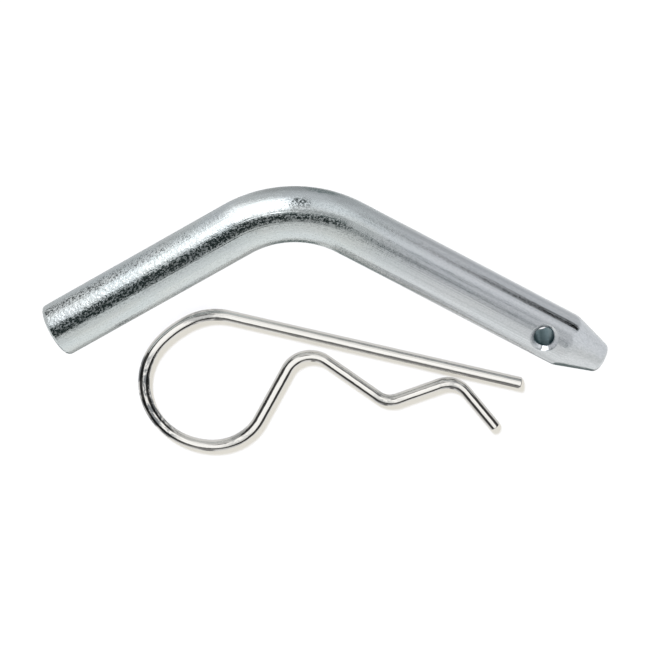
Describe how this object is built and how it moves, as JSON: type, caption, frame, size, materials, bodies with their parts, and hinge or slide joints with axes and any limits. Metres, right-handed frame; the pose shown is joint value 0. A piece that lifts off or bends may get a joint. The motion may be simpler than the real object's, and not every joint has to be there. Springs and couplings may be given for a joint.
{
  "type": "bent hitch pin with spring clip",
  "caption": "Bent zinc plated hitch pin with a cross-drilled, tapered shank, and the spring wire clip that locks it, laid beside it.",
  "frame": {"origin": "where the shank axis crosses the cross hole axis", "axes": "+X along the shank to the tapered nose, +Z along the cross hole, the grip leg bends toward -Y; pin and clip rest on one plane below the origin"},
  "size_m": [0.1478, 0.0935, 0.016],
  "materials": {
    "zinc_bar": "bright zinc plate over drawn bar, satin with fine streaks and pits",
    "spring_wire": "bright polished spring wire"
  },
  "bodies": {
    "pin": {"bent_pin": "zinc_bar"},
    "clip": {"clip_straight_leg": "spring_wire", "clip_eye": "spring_wire"},
    "clip_spring_leg": {"clip_wavy_leg": "spring_wire"}
  },
  "joints": [
    {"name": "clip_to_hole", "type": "hinge", "parent": "pin", "child": "clip", "pos_m": [0.02122, -0.00072, 0.00939], "axis": [0.2269, 0.8658, -0.4459], "range_deg": [0, 104.37]},
    {"name": "clip_leg_flex", "type": "hinge", "parent": "clip", "child": "clip_spring_leg", "pos_m": [-0.07341, -0.06393, -0.00624], "axis": [0, 0, -1], "range_deg": [0, 8], "stiffness_Nm_per_rad": 1, "deforming": ["clip_eye"]}
  ]
}
